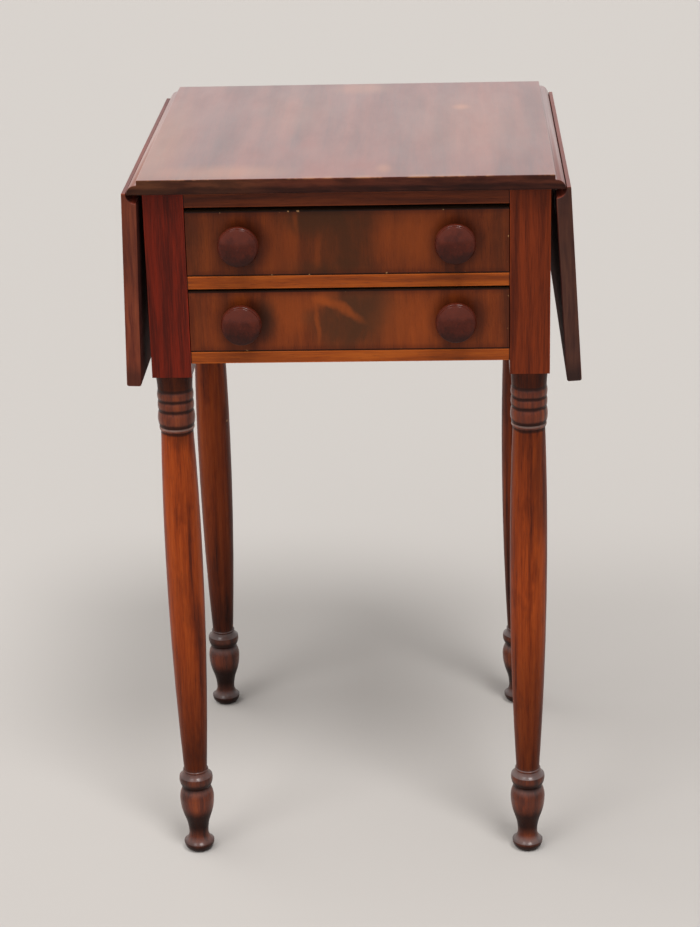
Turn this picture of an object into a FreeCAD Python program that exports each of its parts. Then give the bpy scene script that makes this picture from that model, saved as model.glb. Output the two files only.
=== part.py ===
"""A small work table with two drawers, turned legs and a hinged drop leaf on each side.

+Z is up, the drawers face -Y, and the origin is on the floor under the middle of the whole table.
"""
import FreeCAD, Part
import os

import Sketcher

# Driving dimensions in millimetres and degrees.
SIZES = {
    # Whole table
    "table_height": 724,
    "case_width": 380,
    "case_depth": 372,
    "board_thickness": 14,
    "top_overhang": 13,
    "glue_gap": 0.1,
    # Square part of the legs
    "leg_square": 38,
    "block_height": 183.5,
    # Foot, ankle and vase of the legs, measured up from the floor
    "pad_radius": 10,
    "foot_radius": 15.6,
    "foot_height": 9.5,
    "foot_round": 1.6,
    "ankle_radius": 10,
    "ankle_height": 20,
    "waist_height": 38.5,
    "vase_radius": 17.6,
    "vase_height": 61,
    "groove_radius": 14,
    "groove_height": 73.5,
    "ring_radius": 16.9,
    "ring_height": 86,
    "ring_round": 1.5,
    "ring_hollow": 0.5,
    "collar_radius": 12.4,
    "collar_height": 91.3,
    "collar_length": 2.5,
    "collar_round": 0.7,
    # Swelling shaft of the legs
    "shaft_foot_radius": 11.75,
    "swell_radius": 18.5,
    "swell_height": 330,
    "shaft_neck_radius": 15.75,
    # Turned rings above the shaft, measured down from the block
    "neck_length": 17.5,
    "neck_radius": 18.4,
    "neck_hollow": 0.3,
    "bead_length": 10.3,
    "bead_radius": 17.8,
    "quirk_radius": 16.9,
    "torus_length": 16,
    "torus_radius": 18.2,
    "fillet_length": 4.5,
    "fillet_radius": 17.2,
    "fillet_base_radius": 16.4,
    # Panels and front rails of the case
    "panel_thickness": 16,
    "panel_shoulder": 10,
    "back_inset": 3,
    "tenon_thickness": 8,
    "tenon_length": 14,
    "tenon_web": 4,
    "top_rail_height": 16,
    "upper_opening": 67,
    "divider_height": 12.5,
    "lower_opening": 62.5,
    "bottom_rail_height": 11.5,
    "rail_depth": 36,
    "rail_shoulder": 2,
    "rail_tenon_setback": 6,
    "rail_tenon_width": 14,
    "dovetail_setback": 18,
    "dovetail_neck": 13,
    "dovetail_end": 19,
    "dovetail_depth": 10,
    "runner_width": 22,
    "kicker_width": 22,
    # Drawers
    "upper_front_gap": 4,
    "lower_front_gap": 2.5,
    "front_lift": 0.5,
    "front_thickness": 19,
    "veneer_thickness": 1,
    "drawer_side_gap": 0.75,
    "drawer_stop_gap": 0.5,
    "side_thickness": 9,
    "side_drop": 3,
    "back_thickness": 9,
    "bottom_rise": 6,
    "bottom_thickness": 5,
    "groove_depth": 4,
    "groove_slack": 0.2,
    "tail_length": 12,
    "tail_flare": 2,
    "pin_width": 9,
    # Knobs, measured out from the drawer front
    "knob_spread": 101,
    "upper_knob_height": 33,
    "lower_knob_height": 31.5,
    "knob_reach": 26,
    "face_radius": 17.2,
    "face_rise": 4.2,
    "rim_radius": 18.2,
    "rim_length": 3.2,
    "rim_round": 0.5,
    "knob_quirk": 0.9,
    "knob_bead_length": 6,
    "knob_bead_radius": 19.4,
    "stem_radius": 8.5,
    "stem_length": 4,
    "stem_hollow": 2.4,
    "stem_base_radius": 11,
    "stem_base_hollow": 0.8,
    "knob_tenon_radius": 6,
    "knob_tenon_tail": 1.5,
    # Rule joints and leaves
    "fillet_outset": 3.4,
    "rule_fillet": 4.8,
    "pin_rise": 0.7,
    "pin_outset": 1.2,
    "rule_clearance": 0.6,
    "lip_gap": 0.4,
    "leaf_drop": 188.3,
    "leaf_round": 2.2,
    "left_lean": 1.6,
    "right_lean": 3.6,
    # Leaf hinges
    "hinge_spread": 132,
    "hinge_length": 30,
    "plate_thickness": 1.8,
    "top_plate_width": 25,
    "leaf_plate_width": 40,
    "knuckle_radius": 2.5,
    "knuckle_middle": 10,
    "knuckle_gap": 0.3,
    "hinge_pin_radius": 1.2,
    "pin_clearance": 0.05,
    "recess_gap": 0.2,
    "swing_gap": 0.4,
    "screw_spread": 9,
    "top_screw_near": 10,
    "top_screw_far": 19,
    "leaf_screw_near": 18,
    "leaf_screw_far": 32,
    "hinge_screw_radius": 1.5,
    "hinge_screw_head": 3,
    "hinge_screw_length": 10.5,
    # Swinging brackets that carry the raised leaves
    "fly_room": 5.1,
    "fly_height": 40,
    "fly_drop": 0.5,
    "bracket_length": 105,
    "bracket_tip_height": 15,
    "bracket_curve_run": 42,
    "bracket_hollow": 6,
    "bracket_rest_gap": 0.3,
    "finger_gap": 0.4,
    "fly_pin_radius": 2.5,
    "fly_pin_tail": 3,
    "fly_screw_near": 38,
    "fly_screw_far": 120,
    # Round-headed screws of the top and of the fly rails
    "wood_screw_radius": 2,
    "wood_screw_head": 4,
    "wood_screw_head_height": 2.5,
    "wood_screw_length": 21.5,
    "counterbore_depth": 3.5,
    "screw_clearance": 0.2,
    "kicker_screw_spread": 95,
    "rail_screw_spread": 80,
}

# Levels and planes that several pieces share, worked out from the sizes above.
PLACES = {
    "half_width": "Size.case_width / 2",
    "inside_half": "half_width - Size.leg_square",
    "leg_axis": "half_width - Size.leg_square / 2",
    "case_front": "(Size.knob_reach - Size.top_overhang - Size.case_depth) / 2",
    "case_back": "case_front + Size.case_depth",
    "case_middle": "(case_front + case_back) / 2",
    "front_leg_back": "case_front + Size.leg_square",
    "back_leg_front": "case_back - Size.leg_square",
    "top_front": "case_front - Size.top_overhang",
    "top_back": "case_back + Size.top_overhang",
    "top_underside": "Size.table_height - Size.board_thickness",
    "block_bottom": "top_underside - Size.block_height",
    "upper_ceiling": "top_underside - Size.top_rail_height",
    "upper_floor": "upper_ceiling - Size.upper_opening",
    "lower_ceiling": "upper_floor - Size.divider_height",
    "lower_floor": "lower_ceiling - Size.lower_opening",
    "case_bottom": "lower_floor - Size.bottom_rail_height",
    "tenon_bottom": "case_bottom + Size.panel_shoulder",
    "tenon_top": "upper_ceiling - Size.panel_shoulder",
    "panel_outside": "inside_half + Size.panel_thickness",
    "panel_middle": "inside_half + Size.panel_thickness / 2",
    "side_tenon_length": "Size.leg_square - Size.rail_tenon_setback - Size.rail_tenon_width - Size.tenon_web",
    "back_panel_outside": "case_back - Size.back_inset",
    "back_panel_inside": "back_panel_outside - Size.panel_thickness",
    "rail_back": "case_front + Size.rail_depth",
    # Turned rings of the legs
    "waist_radius": "Size.ankle_radius + (Size.vase_radius - Size.ankle_radius)"
                    " * (Size.waist_height - Size.ankle_height) / (Size.vase_height - Size.ankle_height)",
    "shaft_bottom": "Size.collar_height + Size.collar_length",
    "neck_bottom": "block_bottom - Size.neck_length",
    "bead_middle": "neck_bottom - Size.bead_length",
    "bead_bottom": "bead_middle - Size.bead_length",
    "torus_bottom": "bead_bottom - Size.torus_length",
    "shaft_top": "torus_bottom - Size.fillet_length",
    # Drawers
    "drawer_half": "inside_half - Size.drawer_side_gap",
    "drawer_inside": "drawer_half - Size.side_thickness",
    "front_core": "case_front + Size.veneer_thickness",
    "front_inside": "case_front + Size.front_thickness",
    "tail_tip": "front_inside - Size.tail_length",
    "drawer_back": "back_panel_inside - Size.drawer_stop_gap",
    "back_shoulder": "drawer_back - Size.back_thickness",
    "groove_half": "drawer_inside + Size.groove_depth",
    # Knobs
    "knob_face": "case_front - Size.knob_reach",
    "knob_rim": "knob_face + Size.face_rise",
    "knob_groove": "knob_rim + Size.rim_length",
    "knob_bead": "knob_groove + Size.knob_bead_length",
    "knob_stem": "case_front - Size.stem_length",
    "knob_tail": "front_inside + Size.knob_tenon_tail",
    # Rule joints
    "fillet_line": "half_width + Size.fillet_outset",
    "pin_across": "fillet_line + Size.pin_outset",
    "pin_level": "top_underside + Size.pin_rise",
    "round_radius": "Size.board_thickness - Size.rule_fillet - Size.pin_rise",
    "round_end": "pin_across + round_radius",
    "cove_radius": "round_radius + Size.rule_clearance",
    "leaf_top": "Size.board_thickness - Size.pin_rise",
    "front_hinge": "case_middle - Size.hinge_spread",
    "back_hinge": "case_middle + Size.hinge_spread",
    # Swinging brackets
    "fly_outside": "pin_across - Size.knuckle_radius - Size.fly_room",
    "fly_thickness": "fly_outside - panel_outside",
    "fly_across": "panel_outside + fly_thickness / 2",
    "fly_top": "top_underside - Size.fly_drop",
    "fly_bottom": "fly_top - Size.fly_height",
    "fly_middle": "fly_top - Size.fly_height / 2",
    "bracket_reach": "pin_across - fly_outside - Size.bracket_rest_gap",
    "left_leaf_offset": "cove_radius * sin(Size.left_lean) - Size.pin_rise * cos(Size.left_lean)",
    "right_leaf_offset": "cove_radius * sin(Size.right_lean) - Size.pin_rise * cos(Size.right_lean)",
    "left_bracket_swing": "asin((bracket_reach + left_leaf_offset) / Size.bracket_length)",
    "right_bracket_swing": "asin((bracket_reach + right_leaf_offset) / Size.bracket_length)",
    # Screws
    "wood_screw_seat": "upper_ceiling + Size.counterbore_depth",
    "wood_screw_tip": "wood_screw_seat + Size.wood_screw_length",
    "fly_screw_seat": "fly_outside - Size.counterbore_depth",
    "fly_screw_tip": "fly_screw_seat - Size.wood_screw_length",
    "kicker_middle": "inside_half - Size.kicker_width / 2",
    "rail_middle": "case_front + Size.rail_depth / 2",
}

SIDES = {"left": -1, "right": 1}
ENDS = {"front": -1, "back": 1}
TAIL_COUNT = 2
FINGERS = 5
QUARTER_BULGE = "(1 - sqrt(0.5))"

doc = FreeCAD.newDocument("work_table")
pieces = []


def fill_sheet(name, cells):
    """One row a value: its name beside an aliased cell."""
    sheet = doc.addObject("Spreadsheet::Sheet", name)
    for row, (alias, content) in enumerate(cells.items(), 1):
        sheet.set(f"A{row}", alias)
        sheet.set(f"B{row}", str(content))
        sheet.setAlias(f"B{row}", alias)
    return sheet


size = fill_sheet("Size", SIZES)
place = fill_sheet("Place", {alias: f"={formula}" for alias, formula in PLACES.items()})
doc.recompute()


def value(expression):
    """The number that an expression over the two sheets gives."""
    result = size.evalExpression(expression)
    return float(getattr(result, "Value", result))


def new_body(label):
    """An empty body that becomes a piece of the table."""
    body = doc.addObject("PartDesign::Body", label)
    body.Label = label
    pieces.append(body)
    return body


def put(item, across, along, up, axis="0; 0; 1", angle="0"):
    """Ties an object's place and its turn about one axis to the sheets."""
    base = f"create(<<vector>>; {across}; {along}; {up})"
    turn_by = f"create(<<rotation>>; create(<<vector>>; {axis}); {angle})"
    item.setExpression("Placement", f"create(<<placement>>; {base}; {turn_by})")


def new_sketch(body, name, plane, level="0", across="0", up="0"):
    """A sketch parallel to one of the body's own planes, its origin moved within that plane."""
    sketch = body.newObject("Sketcher::SketchObject", f"{name}_sketch")
    support = next(item for item in body.Origin.OriginFeatures if item.Role == f"{plane}_Plane")
    sketch.AttachmentSupport = (support, [""])
    sketch.MapMode = "FlatFace"
    sketch.setExpression("AttachmentOffset.Base.x", across)
    sketch.setExpression("AttachmentOffset.Base.y", up)
    sketch.setExpression("AttachmentOffset.Base.z", level)
    return sketch


def bind(sketch, kind, where, expression):
    """Adds one dimension to a sketch and ties it to the sheets."""
    index = sketch.addConstraint(Sketcher.Constraint(kind, *where, value(expression)))
    sketch.setExpression(f"Constraints[{index}]", expression)


def draw_outline(sketch, points):
    """A closed outline through (across, up) points, listed anticlockwise where it has arcs.

    A third entry makes the stretch that arrives at the point an arc: it is the height of the arc over
    its chord, positive where the arc swells out of the outline.
    """
    corners = [FreeCAD.Vector(value(point[0]), value(point[1]), 0) for point in points]
    first = sketch.GeometryCount
    tips = []
    for index, point in enumerate(points):
        start, end = corners[index - 1], corners[index]
        bulge = value(point[2]) if len(point) == 3 else 0
        if bulge == 0:
            sketch.addGeometry(Part.LineSegment(start, end), False)
            tips.append((1, 2))
            continue
        chord = end - start
        outward = FreeCAD.Vector(chord.y, -chord.x, 0) / chord.Length
        crown = (start + end) / 2 + outward * bulge
        ordered = (start, crown, end) if bulge > 0 else (end, crown, start)
        sketch.addGeometry(Part.Arc(*ordered), False)
        tips.append((1, 2) if bulge > 0 else (2, 1))
    for index, point in enumerate(points):
        following = (index + 1) % len(points)
        joint = (first + index, tips[index][1], first + following, tips[following][0])
        sketch.addConstraint(Sketcher.Constraint("Coincident", *joint))
    for index, point in enumerate(points):
        bind(sketch, "DistanceX", (-1, 1, first + index, tips[index][1]), point[0])
        bind(sketch, "DistanceY", (-1, 1, first + index, tips[index][1]), point[1])
        if len(point) == 3:
            before = points[index - 1]
            chord = f"(({point[0]}) - ({before[0]}))^2 + (({point[1]}) - ({before[1]}))^2"
            radius = f"({chord}) / (8 * abs({point[2]})) + abs({point[2]}) / 2"
            bind(sketch, "Radius", (first + index,), radius)


def draw_circle(sketch, centre, radius):
    """One circle about an (across, up) centre."""
    middle = FreeCAD.Vector(value(centre[0]), value(centre[1]), 0)
    index = sketch.addGeometry(Part.Circle(middle, FreeCAD.Vector(0, 0, 1), value(radius)), False)
    bind(sketch, "DistanceX", (-1, 1, index, 3), centre[0])
    bind(sketch, "DistanceY", (-1, 1, index, 3), centre[1])
    bind(sketch, "Radius", (index,), radius)


def level_sketch(body, name, plane, low, high, cut):
    """The sketch from which a pad or a pocket fills the stretch between two levels."""
    start = high if (plane == "XZ") != cut else low
    return new_sketch(body, name, plane, f"-({start})" if plane == "XZ" else start)


def extrude(body, name, sketch, low, high, cut):
    """Adds, or cuts away, what the sketch sweeps between the two levels."""
    feature = body.newObject("PartDesign::Pocket" if cut else "PartDesign::Pad", name)
    feature.Profile = (sketch, [""])
    feature.setExpression("Length", f"({high}) - ({low})")


def prism(body, name, plane, outlines, low, high, cut=False):
    """Straight-sided solids or hollows on one or more outlines."""
    sketch = level_sketch(body, name, plane, low, high, cut)
    for points in outlines:
        draw_outline(sketch, points)
    extrude(body, name, sketch, low, high, cut)


def drum(body, name, plane, centres, radius, low, high, cut=False):
    """Round solids or holes of one radius about one or more centres."""
    sketch = level_sketch(body, name, plane, low, high, cut)
    for centre in centres:
        draw_circle(sketch, centre, radius)
    extrude(body, name, sketch, low, high, cut)


def turning(body, name, plane, points, level="0", across="0"):
    """A solid turned about the upright axis of its sketch."""
    sketch = new_sketch(body, name, plane, level, across)
    draw_outline(sketch, points)
    feature = body.newObject("PartDesign::Revolution", name)
    feature.Profile = (sketch, [""])
    feature.ReferenceAxis = (sketch, ["V_Axis"])
    feature.Angle = 360


def between(left, right, low, high):
    """A rectangle given by its four edges."""
    return [(left, low), (right, low), (right, high), (left, high)]


def centred(across, up, width, height):
    """A rectangle given by its middle and its two sizes."""
    left, right = f"{across} - ({width}) / 2", f"{across} + ({width}) / 2"
    return between(left, right, f"{up} - ({height}) / 2", f"{up} + ({height}) / 2")


def mirrored(points):
    """The same outline on the other side of the upright axis, still listed anticlockwise."""
    flipped = []
    for index in reversed(range(len(points))):
        following = points[(index + 1) % len(points)]
        flipped.append((f"-({points[index][0]})", points[index][1], *following[2:]))
    return flipped


def spread(side, inner, outer):
    """Low and high X of a stretch that lies between two distances from the middle plane."""
    return (inner, outer) if side > 0 else (f"-({outer})", f"-({inner})")


def tangent_bulge(run, drop):
    """Height over its chord of an arc that leaves along its run and falls off by its drop."""
    radius = f"((({run})^2 + ({drop})^2) / (2 * abs({drop})))"
    return f"({radius} - sqrt({radius}^2 - (({run})^2 + ({drop})^2) / 4))"


# Legs

def leg_outline():
    """Half section of a leg's turned part, from the floor up to the block."""
    foot_to_ankle = tangent_bulge("Size.ankle_height - Size.foot_height",
                                  "Size.foot_radius - Size.ankle_radius")
    ankle_to_waist = tangent_bulge("Size.waist_height - Size.ankle_height",
                                   "Place.waist_radius - Size.ankle_radius")
    waist_to_vase = tangent_bulge("Size.vase_height - Size.waist_height",
                                  "Size.vase_radius - Place.waist_radius")
    vase_to_groove = tangent_bulge("Size.groove_height - Size.vase_height",
                                   "Size.vase_radius - Size.groove_radius")
    lower_shaft = tangent_bulge("Size.swell_height - Place.shaft_bottom",
                                "Size.swell_radius - Size.shaft_foot_radius")
    upper_shaft = tangent_bulge("Place.shaft_top - Size.swell_height",
                                "Size.swell_radius - Size.shaft_neck_radius")
    bead = "Size.bead_radius - Size.quirk_radius"
    return [
        ("0", "0"),
        ("Size.pad_radius", "0"),
        ("Size.foot_radius", "Size.foot_height", "Size.foot_round"),
        ("Size.ankle_radius", "Size.ankle_height", f"-{foot_to_ankle}"),
        ("Place.waist_radius", "Size.waist_height", f"-{ankle_to_waist}"),
        ("Size.vase_radius", "Size.vase_height", waist_to_vase),
        ("Size.groove_radius", "Size.groove_height", vase_to_groove),
        ("Size.ring_radius", "Size.ring_height", "Size.ring_round"),
        ("Size.collar_radius", "Size.collar_height", "-Size.ring_hollow"),
        ("Size.collar_radius", "Place.shaft_bottom", "Size.collar_round"),
        ("Size.shaft_foot_radius", "Place.shaft_bottom"),
        ("Size.swell_radius", "Size.swell_height", lower_shaft),
        ("Size.shaft_neck_radius", "Place.shaft_top", upper_shaft),
        ("Size.fillet_base_radius", "Place.shaft_top"),
        ("Size.fillet_base_radius", "Place.torus_bottom", "Size.fillet_radius - Size.fillet_base_radius"),
        ("Size.quirk_radius", "Place.torus_bottom"),
        ("Size.quirk_radius", "Place.bead_bottom", "Size.torus_radius - Size.quirk_radius"),
        ("Size.quirk_radius", "Place.bead_middle", bead),
        ("Size.quirk_radius", "Place.neck_bottom", bead),
        ("Size.neck_radius", "Place.block_bottom", "-Size.neck_hollow"),
        ("0", "Place.block_bottom"),
    ]


def side_tenon(side, gap):
    """Plan of the tenon that runs through a side panel from leg to leg."""
    length = f"Place.back_leg_front - Place.front_leg_back + 2 * (Place.side_tenon_length + {gap})"
    thickness = f"Size.tenon_thickness + 2 * {gap}"
    return centred(f"{side} * Place.panel_middle", "Place.case_middle", thickness, length)


def back_tenon(gap):
    """Plan of the tenon that runs through the back panel from leg to leg."""
    length = f"2 * (Place.inside_half + Size.tenon_length + {gap})"
    middle = "(Place.back_panel_inside + Place.back_panel_outside) / 2"
    return centred("0", middle, length, f"Size.tenon_thickness + 2 * {gap}")


def rail_tenon(gap):
    """Plan of the tenon that runs through a front rail from leg to leg."""
    length = f"2 * (Place.inside_half + Size.tenon_length + {gap})"
    middle = "Place.case_front + Size.rail_tenon_setback + Size.rail_tenon_width / 2"
    return centred("0", middle, length, f"Size.rail_tenon_width + 2 * {gap}")


def rail_dovetails(gap):
    """Plan of the two dovetails of the top rail, with the strip between them."""
    end = f"(Place.inside_half + Size.tenon_length + {gap})"
    middle = "(Place.case_front + Size.dovetail_setback)"
    wide = f"(Size.dovetail_end / 2 + {gap})"
    narrow = f"(Size.dovetail_neck / 2 + {gap})"
    return [
        (f"-{end}", f"{middle} - {wide}"),
        ("-Place.inside_half", f"{middle} - {narrow}"),
        ("Place.inside_half", f"{middle} - {narrow}"),
        (end, f"{middle} - {wide}"),
        (end, f"{middle} + {wide}"),
        ("Place.inside_half", f"{middle} + {narrow}"),
        ("-Place.inside_half", f"{middle} + {narrow}"),
        (f"-{end}", f"{middle} + {wide}"),
    ]


# Bottom and top of the divider and of the bottom rail.
RAIL_LEVELS = {
    "drawer_divider": ("Place.lower_ceiling", "Place.upper_floor"),
    "front_bottom_rail": ("Place.case_bottom", "Place.lower_floor"),
}


def make_leg(end_name, side_name):
    """One leg: block, turned part, and the mortises of whatever meets it."""
    side, end = SIDES[side_name], ENDS[end_name]
    across = f"{side} * Place.leg_axis"
    along = "Place.case_front + Size.leg_square / 2" if end < 0 else "Place.case_back - Size.leg_square / 2"
    body = new_body(f"leg_{end_name}_{side_name}")
    block = centred(across, along, "Size.leg_square", "Size.leg_square")
    prism(body, "block", "XY", [block], "Place.block_bottom", "Place.top_underside")
    turning(body, "turned_part", "XZ", leg_outline(), f"-({along})", across)
    gap = "Size.glue_gap"
    mortises = [side_tenon(side, gap)]
    if end > 0:
        mortises.append(back_tenon(gap))
    for index, outline in enumerate(mortises):
        low, high = f"Place.tenon_bottom - {gap}", f"Place.tenon_top + {gap}"
        prism(body, f"panel_mortise_{index}", "XY", [outline], low, high, cut=True)
    if end > 0:
        return
    for rail, (bottom, top) in RAIL_LEVELS.items():
        low, high = f"{bottom} + Size.rail_shoulder - {gap}", f"{top} - Size.rail_shoulder + {gap}"
        prism(body, f"{rail}_mortise", "XY", [rail_tenon(gap)], low, high, cut=True)
    low = f"Place.top_underside - Size.dovetail_depth - {gap}"
    prism(body, "dovetail_socket", "XY", [rail_dovetails(gap)], low, "Place.top_underside", cut=True)


# Case

def fly_screw_centres():
    """Where the screws of a fly rail stand, as (along, up)."""
    near = "Place.case_middle + Size.fly_screw_near"
    far = "Place.case_middle + Size.fly_screw_far"
    return [(near, "Place.fly_middle"), (far, "Place.fly_middle")]


def make_side_panel(side_name):
    """A side of the case, tenoned at both ends, with the pilot holes of the fly rail."""
    side = SIDES[side_name]
    body = new_body(f"side_panel_{side_name}")
    low, high = spread(side, "Place.inside_half", "Place.panel_outside")
    face = between("Place.front_leg_back", "Place.back_leg_front", "Place.case_bottom", "Place.top_underside")
    prism(body, "panel", "YZ", [face], low, high)
    prism(body, "tenons", "XY", [side_tenon(side, "0")], "Place.tenon_bottom", "Place.tenon_top")
    low, high = spread(side, "Place.fly_screw_tip", "Place.panel_outside")
    drum(body, "pilot_holes", "YZ", fly_screw_centres(), "Size.wood_screw_radius", low, high, cut=True)


def make_back_panel():
    """The back of the case, tenoned into both back legs."""
    body = new_body("back_panel")
    face = between("-Place.inside_half", "Place.inside_half", "Place.case_bottom", "Place.top_underside")
    prism(body, "panel", "XZ", [face], "Place.back_panel_inside", "Place.back_panel_outside")
    prism(body, "tenons", "XY", [back_tenon("0")], "Place.tenon_bottom", "Place.tenon_top")


def rail_plan():
    """Plan of a front rail between the legs."""
    return between("-Place.inside_half", "Place.inside_half", "Place.case_front", "Place.rail_back")


def make_front_rail(label):
    """The drawer divider or the bottom rail, tenoned into both front legs."""
    bottom, top = RAIL_LEVELS[label]
    body = new_body(label)
    prism(body, "rail", "XY", [rail_plan()], bottom, top)
    low, high = f"{bottom} + Size.rail_shoulder", f"{top} - Size.rail_shoulder"
    prism(body, "tenons", "XY", [rail_tenon("0")], low, high)


def counterbored(body, centres):
    """Upright screw holes with their heads let into the underside of the rail or the kickers."""
    head = "Size.wood_screw_head + Size.screw_clearance"
    shank = "Size.wood_screw_radius + Size.screw_clearance"
    drum(body, "screw_holes", "XY", centres, shank, "Place.upper_ceiling", "Place.top_underside", cut=True)
    drum(body, "head_holes", "XY", centres, head, "Place.upper_ceiling", "Place.wood_screw_seat", cut=True)


def rail_screw_centres():
    """Where the top is screwed to the front rail."""
    return [(f"{side} * Size.rail_screw_spread", "Place.rail_middle") for side in SIDES.values()]


def kicker_screw_centres(side):
    """Where the top is screwed to one kicker."""
    return [(f"{side} * Place.kicker_middle", f"Place.case_middle + {end} * Size.kicker_screw_spread")
            for end in ENDS.values()]


def make_top_rail():
    """The rail over the upper drawer, dovetailed into the tops of the front legs."""
    body = new_body("front_top_rail")
    prism(body, "rail", "XY", [rail_plan()], "Place.upper_ceiling", "Place.top_underside")
    low = "Place.top_underside - Size.dovetail_depth"
    prism(body, "dovetails", "XY", [rail_dovetails("0")], low, "Place.top_underside")
    counterbored(body, rail_screw_centres())


def strip_plan(side, width):
    """Plan of a strip glued along the inside of a side panel, from the front rails to the back."""
    inner, outer = f"{side} * (Place.inside_half - {width})", f"{side} * Place.inside_half"
    return between(inner, outer, "Place.rail_back", "Place.back_panel_inside")


def make_runners_and_kicker(side_name):
    """The two drawer runners and the kicker on one side of the case."""
    side = SIDES[side_name]
    for drawer, rail in {"upper": "drawer_divider", "lower": "front_bottom_rail"}.items():
        body = new_body(f"{drawer}_runner_{side_name}")
        prism(body, "strip", "XY", [strip_plan(side, "Size.runner_width")], *RAIL_LEVELS[rail])
    body = new_body(f"kicker_{side_name}")
    plan = strip_plan(side, "Size.kicker_width")
    prism(body, "strip", "XY", [plan], "Place.upper_ceiling", "Place.top_underside")
    counterbored(body, kicker_screw_centres(side))


# Drawers

def tails(low, high):
    """Lower and upper edge, at the shoulder, of each dovetail cut between two levels."""
    width = f"(({high}) - ({low}) - {TAIL_COUNT + 1} * Size.pin_width) / {TAIL_COUNT}"
    starts = [f"{low} + {n + 1} * Size.pin_width + {n} * ({width})" for n in range(TAIL_COUNT)]
    return [(start, f"{start} + {width}") for start in starts]


def tail_outline(shoulder, tip, edges):
    """One dovetail seen from the drawer's side, from its lower edge round to its upper edge."""
    low, high = edges
    return [(shoulder, low), (tip, f"{low} - Size.tail_flare"),
            (tip, f"{high} + Size.tail_flare"), (shoulder, high)]


def make_drawer(name):
    """One drawer: front, veneer, two dovetailed sides, back, bottom and two knobs."""
    floor = f"Place.{name}_floor"
    front_low = f"({floor} + Size.front_lift)"
    front_high = f"(Place.{name}_ceiling - Size.{name}_front_gap)"
    side_high = f"({front_high} - Size.side_drop)"
    bottom_low = f"({floor} + Size.bottom_rise)"
    groove_high = f"({bottom_low} + Size.bottom_thickness + Size.groove_slack)"
    knob_level = f"{floor} + Size.{name}_knob_height"
    knob_centres = [(f"{side} * Size.knob_spread", knob_level) for side in SIDES.values()]
    front_tails = [tail_outline("Place.front_inside", "Place.tail_tip", edges)
                   for edges in tails(floor, side_high)]
    back_tails = [tail_outline("Place.back_shoulder", "Place.drawer_back", edges)
                  for edges in tails(groove_high, side_high)]
    face = between("-Place.drawer_half", "Place.drawer_half", front_low, front_high)

    front = new_body(f"{name}_drawer_front")
    prism(front, "core", "XZ", [face], "Place.front_core", "Place.front_inside")
    for side_name, side in SIDES.items():
        stretch = spread(side, "Place.drawer_inside", "Place.drawer_half")
        prism(front, f"{side_name}_sockets", "YZ", front_tails, *stretch, cut=True)
    groove = between("Place.front_inside - Size.groove_depth", "Place.front_inside", bottom_low, groove_high)
    prism(front, "groove", "YZ", [groove], "-Place.groove_half", "Place.groove_half", cut=True)
    drum(front, "knob_holes", "XZ", knob_centres, "Size.knob_tenon_radius",
         "Place.front_core", "Place.front_inside", cut=True)

    veneer = new_body(f"{name}_drawer_veneer")
    prism(veneer, "sheet", "XZ", [face], "Place.case_front", "Place.front_core")
    drum(veneer, "knob_holes", "XZ", knob_centres, "Size.knob_tenon_radius",
         "Place.case_front", "Place.front_core", cut=True)

    profile = [("Place.front_inside", floor), ("Place.drawer_back", floor),
               ("Place.drawer_back", groove_high), ("Place.back_shoulder", groove_high)]
    for points in back_tails:
        profile += points
    profile += [("Place.back_shoulder", side_high), ("Place.front_inside", side_high)]
    for points in reversed(front_tails):
        profile += reversed(points)
    side_groove = between("Place.tail_tip", "Place.drawer_back", bottom_low, groove_high)
    for side_name, side in SIDES.items():
        board = new_body(f"{name}_drawer_side_{side_name}")
        prism(board, "board", "YZ", [profile], *spread(side, "Place.drawer_inside", "Place.drawer_half"))
        stretch = spread(side, "Place.drawer_inside", "Place.groove_half")
        prism(board, "groove", "YZ", [side_groove], *stretch, cut=True)

    back = new_body(f"{name}_drawer_back")
    back_face = between("-Place.drawer_half", "Place.drawer_half", groove_high, side_high)
    prism(back, "board", "XZ", [back_face], "Place.back_shoulder", "Place.drawer_back")
    for side_name, side in SIDES.items():
        stretch = spread(side, "Place.drawer_inside", "Place.drawer_half")
        prism(back, f"{side_name}_sockets", "YZ", back_tails, *stretch, cut=True)

    bottom = new_body(f"{name}_drawer_bottom")
    half = "(Place.groove_half - Size.groove_slack)"
    front_edge = "Place.front_inside - Size.groove_depth + Size.groove_slack"
    plan = between(f"-{half}", half, front_edge, "Place.drawer_back")
    prism(bottom, "board", "XY", [plan], bottom_low, f"{bottom_low} + Size.bottom_thickness")

    for side_name, side in SIDES.items():
        knob = new_body(f"{name}_drawer_knob_{side_name}")
        turning(knob, "turned_part", "XY", knob_outline(), knob_level, f"{side} * Size.knob_spread")


def knob_outline():
    """Half section of a knob: domed face, rim, bead behind it, hollow stem and round tenon."""
    neck = "Size.rim_radius - Size.knob_quirk"
    tenon = "Size.knob_tenon_radius - Size.glue_gap"
    return [
        ("0", "Place.knob_face"),
        ("Size.face_radius", "Place.knob_rim", tangent_bulge("Size.face_radius", "Size.face_rise")),
        ("Size.rim_radius", "Place.knob_groove - Size.knob_quirk", "Size.rim_round"),
        (neck, "Place.knob_groove"),
        (neck, "Place.knob_bead", f"Size.knob_bead_radius - ({neck})"),
        ("Size.stem_radius", "Place.knob_stem", "-Size.stem_hollow"),
        ("Size.stem_base_radius", "Place.case_front", "-Size.stem_base_hollow"),
        (tenon, "Place.case_front"),
        (tenon, "Place.knob_tail"),
        ("0", "Place.knob_tail"),
    ]


# Top and leaves

HINGES = {"front": "Place.front_hinge", "back": "Place.back_hinge"}


def plate_screws(side, along, near, far):
    """Centres of the three screws of a hinge plate, measured from the hinge pin."""
    row = [(f"{side} * {near}", f"{along} + {end} * Size.screw_spread") for end in ENDS.values()]
    return row + [(f"{side} * {far}", along)]


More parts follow.
